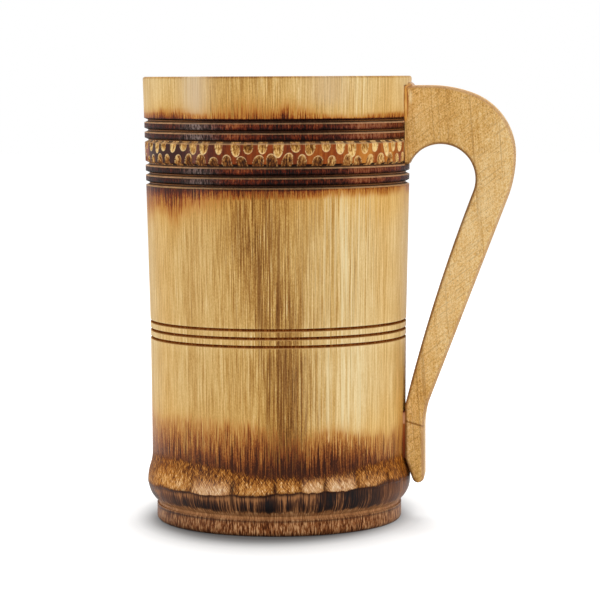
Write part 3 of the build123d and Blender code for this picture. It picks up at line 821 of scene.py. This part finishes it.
def ridgeFinish():
    # burnt ridges between the turned grooves: black brown with red fibres, grooves darkened with painted
    # shade, a thin raw lower lip and a painted grey gleam at the left
    f = Finish("bamboo_burnt")
    f.roll(culm["fibreRadius"])
    fine = f.grain(2.3, 0.08, 3.0, 0.65)
    mid = f.grain(0.7, 0.04, offset=3.0)
    speck = f.grain(2.2, 0.7, 3.0, 0.7, offset=9.0)
    colour = f.ramp(f.total("ridge", (fine, 1.3), (mid, 0.4), (speck, 1.9)),
                    [(0.0, (10, 2, 1)), (0.26, (38, 11, 4)), (0.5, (80, 25, 9)), (0.74, (122, 52, 22)),
                     (1.0, (158, 92, 50))])
    # painted shade: grooves darkest on their slopes and lighter on the floor, more so towards the sides
    shade = f.ramp(f.total("open", (fine, 0.7), (speck, 0.5)),
                   [(0.1, (26, 10, 4)), (0.45, (62, 32, 14)), (0.8, (116, 72, 38)), (1.0, (140, 92, 52))])
    colour = f.mix(f.spread("trench", 0.05, 0.6), colour, shade)
    # raw wood on the lower lips, partly a painted highlight
    colour = f.mix(f.times("lip", f.spread(mid, 0.25, 0.6, 0.65, 1.0)), colour, (246, 190, 138))
    # painted highlight: speckled grey gleam on the ridges at the left, weaker on the right
    gleamSpeckle = f.spread(f.total(speck, (fine, 0.4)), 0.42, 0.62, 0.05, 0.85)
    colour = f.mix(f.times("gleam", gleamSpeckle), colour, (150, 134, 126))
    normal = f.bump(f.total((fine, 1.2), (speck, 3.4)), 0.2)
    coatNormal = f.bump(f.total((fine, 0.6), (speck, 1.6)), 0.2)
    return f.close(colour, 0.4, normal, coat=0.09, coatRough=0.12, specular=0.02, coatNormal=coatNormal)


def cutFinish():
    # end grain: pale ground with scattered brown dots
    f = Finish("bamboo_end_grain")
    scaled = f.node("Mapping", {"Vector": f.place, "Scale": (1150.0, 1150.0, 60.0)})
    dots = f.node("TexVoronoi", {"Vector": scaled.outputs[0], "Scale": 1.0}).outputs["Distance"]
    ground = f.ramp(f.grain(0.25, 0.25, 3.0),
                    [(0.3, (176, 130, 78)), (0.5, (204, 162, 106)), (0.7, (222, 186, 132))])
    dark = f.spread(dots, 0.18, 0.36, 0.8, 0.0)
    colour = f.mix(dark, ground, (112, 70, 38))
    return f.close(colour, 0.55, f.bump(f.total(dark, f.grain(1.8, 1.8)), 0.05, 0.5))


def insideFinish():
    # bored inside: pale tan, faint lathe rings and upright fibres
    f = Finish("bamboo_inside")
    fibre = f.grain(1.6, 0.03)
    rings = f.grain(0.05, 1.1, offset=5.0)
    blotch = f.grain(0.07, 0.03, 3.0, offset=9.0)
    colour = f.ramp(f.total((fibre, 0.5), (rings, 0.3), blotch),
                    [(0.2, (150, 106, 58)), (0.45, (192, 148, 90)), (0.65, (212, 172, 114)),
                     (0.9, (226, 194, 142))])
    return f.close(colour, f.spread(fibre, 0.3, 0.7, 0.42, 0.55), f.bump(f.total(rings, fibre), 0.06, 0.5))


def carvedFinish():
    # burnt skin between the cuts, raw fibres in them: the lower cuts a darker copy as painted shade, a
    # painted highlight at the cut tips, painted shade on the cut sides and groove slopes
    f = Finish("carved_bamboo")
    f.roll(culm["fibreRadius"])
    fine = f.grain(2.1, 0.05, 2.0, 0.6)
    mid = f.grain(0.8, 0.05, 2.0, 0.6, offset=3.0)
    fleck = f.grain(2.1, 0.7, 3.0, 0.7, offset=13.0)
    burnt = f.ramp(f.total("skin", (mid, 0.4), (fine, 0.35), (fleck, 0.35)),
                   [(0.08, (206, 138, 58)), (0.3, (172, 98, 38)), (0.5, (136, 60, 21)), (0.72, (84, 36, 20)),
                    (0.95, (54, 23, 18))])
    raw = f.total(f.times(fleck, 1.9, -0.45), (fine, 0.7), f.times("cutDepth", -0.3), "fresh")
    upper = f.ramp(raw, [(0.05, (88, 48, 18)), (0.26, (166, 112, 50)), (0.44, (210, 160, 86)),
                         (0.7, (248, 214, 146))])
    # painted shade: the lower cuts face down and get a darker copy of the raw fibres
    lower = f.ramp(raw, [(0.08, (52, 26, 12)), (0.32, (118, 68, 30)), (0.52, (172, 116, 56)),
                         (0.76, (234, 192, 122))])
    colour = f.mix("lowerCut", f.mix("upperCut", burnt, upper), lower)
    # painted shade along the cut sides, painted highlight at the cut tips
    colour = f.mix(f.times("cutSide", 0.6), colour, (64, 30, 12))
    colour = f.mix(f.times("cutEdge", f.spread(mid, 0.3, 0.6, 0.5, 1.0)), colour, (246, 212, 154))
    shade = f.ramp(f.total("grooveShade", (mid, 0.3)), [(0.2, (96, 46, 22)), (0.7, (34, 18, 11))])
    colour = f.mix(f.spread("grooveShade", 0.05, 0.5), colour, shade)
    # raw wood on the lower lip, partly a painted highlight
    colour = f.mix(f.times("lip", f.spread(mid, 0.25, 0.6, 0.45, 1.0)), colour, (196, 152, 110))
    cuts = f.maths("MAXIMUM", "upperCut", "lowerCut")
    normal = f.bump(f.times(f.swing(fleck, 1.6), cuts, f.swing(fine, 0.4)), 0.14, 0.8)
    return f.close(colour, f.times(cuts, 0.1, 0.4), normal, coat=0.05, coatRough=0.14, specular=0.06)


# the handle: a hook sawn from a board

hook = dict(
    headX=42.25, headTop=142.9, headLow=117.375, headFlat=50.0, outermost=(78.2, 120.0),
    crownRadius=40.0, shinRadius=38.0, archCentre=(53.8, 112.525), archRadius=11.3, bow=3.6,
    landingX=42.197, landingTop=38.4, landingLow=21.0, heelX=48.397, ankleHeight=30.0, ankleRadius=30.0,
    toeInside=(45.0, 13.0), toeRound=1.6, half=8.0, edgeRound=1.15, crowning=0.12, sanded=0.11,
    waves=[(0.06, 6.1, 0.4), (0.05, 2.9, 2.0)],  # unevenness of the sanding: height, length and shift
    rows=(3, 24, 44, 44, 14, 16), crownSplit=18, ankleSplit=37.0,  # where the rows of both lines pair up
    shadeAt=[0.0, 6.0, 18.0, 55.0, 95.0], shadeLevels=[-0.2, -0.12, -0.06, 0.12, 0.04, -0.13],
    # glint: place of a painted highlight stripe on the head's front edge
    glintX=44.2, glintWidth=0.45, glintHeights=(136.4, 138.4, 140.6, 141.6), lowTop=40.0, nickHeight=43.95)


def arcLine(centre, radius, start, end, count=60):
    # points on a circle between two angles in degrees
    angle = np.radians(np.linspace(start, end, count))
    return np.stack([centre[0] + radius * np.cos(angle), centre[1] + radius * np.sin(angle)], -1)


def bearing(step):
    # angle in degrees of the way from one point to another
    return np.degrees(np.arctan2(step[1], step[0]))


def lengthAlong(line):
    # distance of each point from the start, along the line
    return np.concatenate([[0.0], np.cumsum(np.linalg.norm(np.diff(line, axis=0), axis=1))])


def evenly(line, count):
    # the same line as evenly spaced points
    step = lengthAlong(line)
    at = np.linspace(0.0, step[-1], count)
    return np.stack([np.interp(at, step, line[:, 0]), np.interp(at, step, line[:, 1])], -1)


def joined(parts):
    # one line from its parts, each with its own number of evenly spaced rows
    rows = [evenly(part, count + 1)[:-1] for part, count in zip(parts, hook["rows"])]
    return np.concatenate(rows + [parts[-1][-1:]])


def hookOutlines():
    # the hook's outer and inner lines from the head to the toe, as pairs of points: straight runs
    # and tangent arcs
    h = hook
    flat, out = np.array([h["headFlat"], h["headTop"]]), np.array(h["outermost"])
    reach, drop = out[0] - flat[0], flat[1] - out[1]
    crown = h["crownRadius"]
    knee = (2.0 * drop * crown - reach ** 2 - drop ** 2) / (2.0 * (crown - reach))
    crownCentre, kneeCentre = flat - [0.0, crown], out - [knee, 0.0]
    turn = bearing(kneeCentre - crownCentre)
    crownArc, kneeArc = arcLine(crownCentre, crown, 90.0, turn), arcLine(kneeCentre, knee, turn, 0.0)
    shinCentre = out - [h["shinRadius"], 0.0]
    ankleCentre = np.array([h["heelX"] + h["ankleRadius"], h["ankleHeight"]])
    apart = ankleCentre - shinCentre
    lean = np.degrees(np.arcsin((h["shinRadius"] + h["ankleRadius"]) / np.hypot(*apart)))
    side = bearing(apart) - lean + 90.0
    shin = arcLine(shinCentre, h["shinRadius"], 0.0, side - 360.0 if side > 180.0 else side)
    ankle = arcLine(ankleCentre, h["ankleRadius"], side + 180.0 if side < 0.0 else side - 180.0, 180.0)
    # inside of the hook: the arch under the head, then one shallow bow down to the landing
    arch, radius = np.array(h["archCentre"]), h["archRadius"]
    landing = np.array([h["landingX"], h["landingTop"]])
    span = arch - landing
    tilt = np.arctan2(span[0], span[1]) + np.arcsin(radius / np.hypot(*span)) + np.radians(h["bow"])
    normal = np.array([np.cos(tilt), -np.sin(tilt)])
    archEnd = arch + radius * normal
    archStart = 180.0 - np.degrees(np.arcsin((h["headLow"] - arch[1]) / radius))
    chord = landing - archEnd
    bend = chord @ chord / (2.0 * (normal @ chord))
    bowCentre = archEnd + normal * bend
    fromArch, toLanding = (bearing(end - bowCentre) % 360.0 for end in (archEnd, landing))
    arm = arcLine(bowCentre, abs(bend), fromArch, toLanding)
    # toe: both lines bend round into the bottom and meet
    toe, toeRound = np.array(h["toeInside"]), h["toeRound"]
    landLow, heelLow = np.array([[h["landingX"], h["landingLow"]], [h["heelX"], h["landingLow"]]])
    slope = bearing(toe - landLow)
    cut = toeRound / np.tan(np.radians((180.0 + slope) / 2.0))
    innerToe = arcLine((toe[0] + abs(cut), toe[1] + toeRound), toeRound, slope - 90.0, -90.0, 16)
    outerToe = arcLine((h["heelX"] - toeRound, toe[1] + toeRound), toeRound, 0.0, -90.0, 16)
    start = np.array([h["headX"], h["headTop"]])
    shoulder = start + [h["edgeRound"], 0.0]
    split, ankleSplit = h["crownSplit"], int(np.argmin(np.abs(ankle[:, 1] - h["ankleSplit"])))
    rise = arcLine(arch, radius, archStart, 90.0)
    outer = [
        np.array([start, shoulder]),
        np.concatenate([[shoulder], [flat], crownArc[:split]]),
        np.concatenate([crownArc[split - 1:], kneeArc[1:], shin[1:]]),
        np.concatenate([shin[-1:], ankle[:ankleSplit + 1]]),
        np.concatenate([ankle[ankleSplit:], [heelLow]]),
        np.concatenate([[heelLow], outerToe]),
    ]
    inner = [
        np.array([[h["headX"], h["headLow"]], rise[0]]),
        rise,
        arcLine(arch, radius, 90.0, -np.degrees(tilt), 90),
        arm,
        np.array([landing, landLow]),
        np.concatenate([[landLow], innerToe]),
    ]
    return joined(outer), joined(inner)


def buildHandle(material):
    # rounded rectangle between each pair of outline points, carried from the head to the toe
    h = hook
    outer, inner = hookOutlines()
    width = np.linalg.norm(outer - inner, axis=1)
    way = (outer - inner) / np.maximum(width, 1e-6)[:, None]
    bend = np.radians(np.linspace(0.0, 90.0, 6))
    sine, cosine, one = np.sin(bend), np.cos(bend), np.ones(6)
    flat, edge = np.linspace(0.0, 1.0, 14)[1:-1], np.linspace(-1.0, 1.0, 9)[1:-1]
    flatOne, edgeOne = np.ones(flat.size), np.ones(edge.size)
    # across: share of the width, out: corner direction, side: share of the thickness, up: corner direction
    across = np.concatenate([one, edgeOne, one, flat[::-1], 0 * one, 0 * edgeOne, 0 * one, flat])
    out = np.concatenate([sine, edgeOne, cosine, 0 * flat, -sine, -edgeOne, -cosine, 0 * flat])
    side = np.concatenate([-one, edge, one, flatOne, one, edge[::-1], -one, -flatOne])
    up = np.concatenate([-cosine, 0 * edge, sine, flatOne, cosine, 0 * edge, -sine, -flatOne])
    rounding = np.minimum(h["edgeRound"], 0.45 * width)[:, None]
    reach = rounding + (width[:, None] - 2.0 * rounding) * across + rounding * out
    thick = (h["half"] - rounding) * side + rounding * up
    thick = thick * (1.0 - h["crowning"] / h["half"] * (2.0 * across - 1.0) ** 2)
    along = lengthAlong((outer + inner) / 2.0)
    wave = sum(height * np.sin(along / length + shift) for height, length, shift in h["waves"])
    thick = thick * (1.0 - (h["sanded"] + wave[:, None] * np.cos(across * 4.0)) / h["half"])
    x, z = inner[:, :1] + way[:, :1] * reach, inner[:, 1:] + way[:, 1:] * reach
    rim = np.abs(out * up) * 2.0
    shade = np.interp(along, [*h["shadeAt"], along[-1]], h["shadeLevels"])
    front = ease(-0.2, -0.7, up)
    values = dict(
        shade=np.repeat(shade[:, None], across.size, 1),
        # innerFace and innerEdge carry painted shade on the side and rounding that face the cup; outerEdge a
        # greyish line on the outer rounding, partly wear and partly painted shading
        outerEdge=np.tile(rim * (across > 0.5), along.size),
        innerEdge=np.tile(rim * (across < 0.5), along.size),
        innerFace=np.tile((out < -0.5) & (across < 0.5), along.size),
        lowFace=front * (z < h["lowTop"]),
        # glint: painted highlight stripe
        glint=front * hump(x, h["glintX"], h["glintWidth"]) * plateau(*h["glintHeights"], z))
    return makePiece("hook_handle", *cappedTube(np.stack([x, thick, z], -1)), [material], values, sharp=40.0)


def handleFinish():
    # ochre hardwood: upright grain, a few long dark lines, short dark pores, slanting saw scratches, satin
    f = Finish("hook_wood")
    tilted, slanted = f.tilted(4.0), f.tilted(36.0)
    figure = f.grain(0.16, 0.018, 3.0, 0.6, tilted)
    fibre = f.grain(1.6, 0.07, 3.0, 0.6, tilted, 5.0)
    speck = f.grain(2.8, 1.8, 2.0, 0.6, tilted, 9.0)
    saw = f.grain(0.12, 1.5, 2.0, 0.55, slanted, 13.0)
    blotch = f.grain(0.06, 0.05, offset=19.0)
    tone = f.total("shade", f.times(blotch, 0.6, 0.345), (figure, 0.5), (fibre, 0.5), (speck, 1.15),
                   (saw, 0.3))
    wood = f.ramp(tone, [(0.1, (150, 99, 44)), (0.34, (192, 141, 71)), (0.5, (214, 165, 91)),
                         (0.66, (229, 185, 116)), (0.9, (243, 211, 154))])
    scratch = f.spread(f.grain(0.1, 2.4, 2.0, 0.5, slanted, 31.0), 0.53, 0.67, 0.0, 0.3)
    vein = f.spread(f.grain(0.9, 0.006, 2.0, 0.5, tilted, 37.0), 0.58, 0.68, 0.0, 0.34)
    pore = f.spread(f.grain(2.8, 1.3, 2.0, 0.5, tilted, 23.0), 0.58, 0.7, 0.0, 0.5)
    colour = f.mix(f.maths("MAXIMUM", f.maths("MAXIMUM", scratch, vein), pore), wood, (132, 84, 36))
    # a slanting nick near the lower end
    level = f.maths("ADD", f.height(f.tilted(-16.0)), f.times(speck, 0.0006, -hook["nickHeight"] * mm))
    nick = f.spread(f.maths("ABSOLUTE", level), 0.0001, 0.0005, 0.8, 0.0)
    colour = f.mix(f.times(nick, "lowFace"), colour, (128, 76, 26))
    # painted highlight: pale glint stripe on the head's front edge
    colour = f.mix(f.times("glint", f.spread(fibre, 0.3, 0.6, 0.5, 1.0)), colour, (250, 226, 172))
    # painted shade on the inner side face and inner rounding; greyish outer edge partly wear, partly painted
    # shading
    colour = f.mix(f.times("innerFace", 0.5), colour, (124, 78, 40))
    colour = f.mix(f.times("innerEdge", 0.35), colour, (112, 66, 30))
    colour = f.mix(f.times("outerEdge", 0.6), colour, (178, 136, 106))
    normal = f.bump(f.total((saw, 1.0), (speck, 0.8), (fibre, 0.5)), 0.08, 0.6)
    rough = f.spread(speck, 0.3, 0.7, 0.44, 0.56)
    return f.close(colour, rough, normal, coat=0.03, coatRough=0.35, specular=0.12)


def pegFinish():
    # plain pale dowel wood, grain along the peg
    f = Finish("peg_wood")
    grain = f.grain(0.12, 2.2, 2.0, 0.6)
    colour = f.ramp(grain, [(0.3, (176, 132, 80)), (0.5, (206, 164, 108)), (0.7, (222, 186, 132))])
    return f.close(colour, 0.6, f.bump(grain, 0.04, 0.5))


def glueFinish():
    # cured glue film, amber over beige, glossy
    f = Finish("cured_glue")
    cloud = f.grain(0.4, 0.25, 3.0)
    colour = f.ramp(cloud, [(0.3, (150, 92, 40)), (0.5, (196, 138, 70)), (0.7, (220, 172, 110))])
    return f.close(colour, 0.3, f.bump(f.grain(0.5, 0.4), 0.15, 0.5), coat=0.3, coatRough=0.1)


wedge = dict(low=20.0, tall=24.0)  # stretch of the glue wedge that the colours are spread over


def wedgeFinish():
    # glue in the lower gap by height: red brown at the bottom, a pale dab, almost black at the top,
    # which is painted shade in the gap; hardly any gloss
    f = Finish("wedge_glue_and_gap_shade")
    cloud = f.grain(0.6, 0.5, 3.0)
    level = f.times(f.height(f.place), 1.0 / (wedge["tall"] * mm), -wedge["low"] / wedge["tall"])
    colour = f.ramp(f.total(level, (cloud, 0.16)),
                    [(0.0, (104, 50, 26)), (0.3, (146, 70, 35)), (0.5, (168, 98, 48)),
                     (0.55, (214, 164, 124)), (0.64, (196, 138, 102)), (0.68, (78, 26, 14)),
                     (1.0, (50, 18, 10))])
    return f.close(colour, 0.6, f.bump(cloud, 0.2, 0.6), specular=0.06)


# the bead of glue squeezed out round the head

bead = dict(seatX=42.1, half=7.85, top=142.9, low=131.2, corner=1.15, wall=44.0,
            sideSpread=4.0, sideReach=1.5, topRise=1.25, topReach=1.5, growth=4.0,
            pointed=(138.5, 142.4), thinned=(139.0, 142.4), bulge=0.1, sunk=0.12, buried=0.3,
            sheenHeight=136.2, sheenTall=1.3, sideRows=30, topRows=13)


def buildBead(material):
    # a thin three-cornered fillet carried up one cheek of the head, over its top and down the other cheek
    b = bead
    turn = np.radians(np.linspace(0.0, 90.0, 8))[1:]
    side = np.linspace(b["low"], b["top"] - b["corner"], b["sideRows"])
    over = np.linspace(b["corner"] - b["half"], 0.0, b["topRows"] + 1)[1:]
    y = np.concatenate([np.full(side.size, -b["half"]), b["corner"] * (1.0 - np.cos(turn)) - b["half"], over])
    z = np.concatenate([side, b["top"] - b["corner"] * (1.0 - np.sin(turn)), np.full(over.size, b["top"])])
    up = np.concatenate([np.zeros(side.size), np.sin(turn), np.ones(over.size)])
    mirrored = ((y, -1.0), (z, 1.0), (up, 1.0))
    y, z, up = (np.concatenate([part, sign * part[-2::-1]]) for part, sign in mirrored)
    out = np.sign(y) * np.sqrt(1.0 - up ** 2)
    grow = ease(b["low"], b["low"] + b["growth"], z) * 0.85 + 0.15
    spread = b["sideSpread"] * (1.0 - 0.75 * ease(*b["pointed"], z)) * grow
    reach = b["sideReach"] * (0.7 + 0.3 * grow) * (1.0 - 0.3 * ease(*b["thinned"], z))
    spread, reach = spread * (1.0 - up) + b["topRise"] * up, reach * (1.0 - up) + b["topReach"] * up
    base = b["seatX"] + (circleHeight(b["wall"], y) - b["seatX"]) * ease(0.3, 1.0, up)
    share = np.linspace(0.0, 1.0, 9)
    bulge = b["bulge"] * np.sin(np.pi * share) * (1.0 + 0.5 * np.sin(z / 1.7 + y)[:, None]) - b["sunk"]
    root = np.full((y.size, 1), -b["buried"])
    away = np.concatenate([spread[:, None] * (1.0 - share) ** 1.15 + bulge, root], 1)
    forward = np.concatenate([reach[:, None] * share ** 0.9 + bulge, root], 1)
    points = np.stack([base[:, None] + forward, y[:, None] + out[:, None] * away,
                       z[:, None] + up[:, None] * away], -1)
    across = np.broadcast_to(np.append(share, 0.0), away.shape)
    values = dict(across=across, beige=np.repeat(up, share.size + 1),
                  # painted highlight: pale stripe along the middle of the bead
                  pale=hump(across, 0.4, 0.1) * hump(z, b["sheenHeight"], b["sheenTall"])[:, None])
    return makePiece("glue_bead", *cappedTube(points), [material], values, sharp=60.0)


def beadFinish():
    # amber glue, darker along both edges, beige on top of the head, a painted highlight stripe along its
    # middle, a little gloss
    f = Finish("amber_glue")
    cloud = f.grain(0.9, 0.35, 3.0)
    colour = f.ramp(f.total("across", (cloud, 0.5)),
                    [(0.04, (132, 76, 30)), (0.28, (206, 148, 68)), (0.5, (214, 160, 82)),
                     (0.74, (172, 106, 44)), (0.96, (128, 74, 30))])
    colour = f.mix(f.times("beige", 0.7), colour, (184, 142, 96))
    # painted highlight stripe
    colour = f.mix(f.times("pale", 0.8), colour, (240, 200, 134))
    return f.close(colour, 0.35, f.bump(cloud, 0.12, 0.4), coat=0.06, coatRough=0.12, specular=0.1)


culmPiece = buildCulm([skinFinish(), cutFinish(), insideFinish(), ridgeFinish(), lineFinish()])
bandPiece = buildBand(carvedFinish())
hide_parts("culm_body")
handlePiece = buildHandle(handleFinish())
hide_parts("handle")
beadPiece = buildBead(beadFinish())
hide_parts("upper_glue_bead")

# hidden pegs and the glue in the joints keep their solids and get their own finish
dress = dict(upper_peg_top=pegFinish(), upper_glue_bed=glueFinish(), lower_glue_bed=wedgeFinish())
dress["upper_peg_bottom"] = dress["lower_peg"] = dress["upper_peg_top"]
for name, material in dress.items():
    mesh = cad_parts[name].data
    mesh.materials.clear()
    mesh.materials.append(material)
print("pegs and glue dressed")


# floor, light and camera, in metres; the floor is darker in an oval round the foot, a painted contact shadow,
# and its glow, kept low near the foot to paint that shadow too, is given by the distance from the middle of
# the oval

stage = dict(
    floorSize=4.0, middle=(-0.0013, 0.009), deep=0.68,
    # glow and darkTo to greyFrom: painted contact shadow round the foot
    glow=[(0.0375, 0.03), (0.0415, 0.22), (0.0445, 0.39), (0.05, 0.58), (0.063, 0.85)],
    darkTo=0.036, greyFrom=0.047, floorDark=0.2, floorGrey=0.5, skyGlow=0.46, seen=1.0)
# name, place, aim, size, watts, whether it shows in gloss
lamps = [
    ("box_left", (-0.92, -0.38, 0.2), (0.0, 0.0, 0.09), (0.3, 0.55), 4.3, True),
    ("box_front", (0.35, -1.3, 0.17), (0.0, 0.0, 0.08), (0.8, 0.28), 4.7, False),
    ("box_right", (0.88, -0.5, 0.2), (0.0, 0.0, 0.09), (0.2, 0.6), 3.5, False),
    ("box_top", (-0.05, 0.4, 0.95), (0.0, 0.0, 0.05), (0.5, 0.5), 6.0, True),
]
view = dict(lens=157.9, sensor=36.0, place=(0.00716, -0.8669, 0.1463), tilt=85.117, roll=-0.25)


def rayShare(f):
    # 1 for rays from the camera, mirrors and glass
    path = f.node("LightPath").outputs
    seen = f.maths("MAXIMUM", path["Is Camera Ray"], path["Is Glossy Ray"])
    return f.maths("MAXIMUM", seen, path["Is Transmission Ray"])


def makeFloor():
    # square under the foot that glows where the camera sees it and takes the shadow; its darker grey and weak
    # glow round the foot paint a contact shadow
    s = stage["floorSize"]
    x, y = stage["middle"]
    mesh = bpy.data.meshes.new("floor")
    mesh.from_pydata([(-s, -s, 0), (s, -s, 0), (s, s, 0), (-s, s, 0)], [], [(0, 1, 2, 3)])
    f = Finish("floor_white")
    oval = f.node("Mapping", {"Vector": f.place, "Scale": (1.0, stage["deep"], 1.0),
                              "Location": (-x, -y * stage["deep"], 0.0)})
    away = f.node("VectorMath", {0: oval.outputs[0]}, operation="LENGTH").outputs["Value"]
    glow = f.node("Emission", {"Strength": f.times(rayShare(f), f.ramp(away, stage["glow"]))})
    grey = f.node("MapRange", {"Value": away, "From Min": stage["darkTo"], "From Max": stage["greyFrom"],
                               "To Min": stage["floorDark"], "To Max": stage["floorGrey"]})
    matt = f.node("BsdfDiffuse", {"Color": grey.outputs["Result"]})
    mesh.materials.append(f.surface(f.node("AddShader", {0: matt.outputs[0], 1: glow.outputs[0]})))
    floor = bpy.data.objects.new("floor", mesh)
    bpy.context.scene.collection.objects.link(floor)


def makeSky():
    # white where the camera or a mirror looks, dimmer as a light
    f = Finish("studio", sky=True)
    level = f.node("MapRange", {"Value": rayShare(f), "To Min": stage["skyGlow"], "To Max": stage["seen"]})
    back = f.node("Background", {"Color": (1.0, 1.0, 1.0, 1.0), "Strength": level.outputs[0]})
    bpy.context.scene.world = f.surface(back, "OutputWorld")


def makeLamp(name, place, aim, size, watts, mirrored):
    # soft box at a place, turned to look at the aim; only some show in gloss
    light = bpy.data.lights.new(name, "AREA")
    light.shape = "RECTANGLE"
    light.size, light.size_y = size
    light.energy = watts
    lamp = bpy.data.objects.new(name, light)
    lamp.visible_glossy = mirrored
    back = np.array(place) - np.array(aim)
    back = back / np.linalg.norm(back)
    right = np.cross([0.0, 0.0, 1.0], back)
    right = right / np.linalg.norm(right)
    turn = Matrix(np.stack([right, np.cross(back, right), back], -1).tolist())
    lamp.matrix_world = Matrix.Translation(place) @ turn.to_4x4()
    bpy.context.scene.collection.objects.link(lamp)


def turned(degrees, axis):
    # rotation by so many degrees about an axis
    return Matrix.Rotation(np.radians(degrees), 4, axis)


makeFloor()
makeSky()
for lamp in lamps:
    makeLamp(*lamp)
lensData = bpy.data.cameras.new("camera")
lensData.lens, lensData.sensor_width = view["lens"], view["sensor"]
camera = bpy.data.objects.new("camera", lensData)
camera.matrix_world = (turned(frontTurn, "Z") @ Matrix.Translation(view["place"])
                       @ turned(view["tilt"], "X") @ turned(view["roll"], "Z"))
bpy.context.scene.collection.objects.link(camera)
bpy.context.scene.camera = camera
bpy.context.scene.view_settings.view_transform = "Standard"
print("floor, light and camera set")
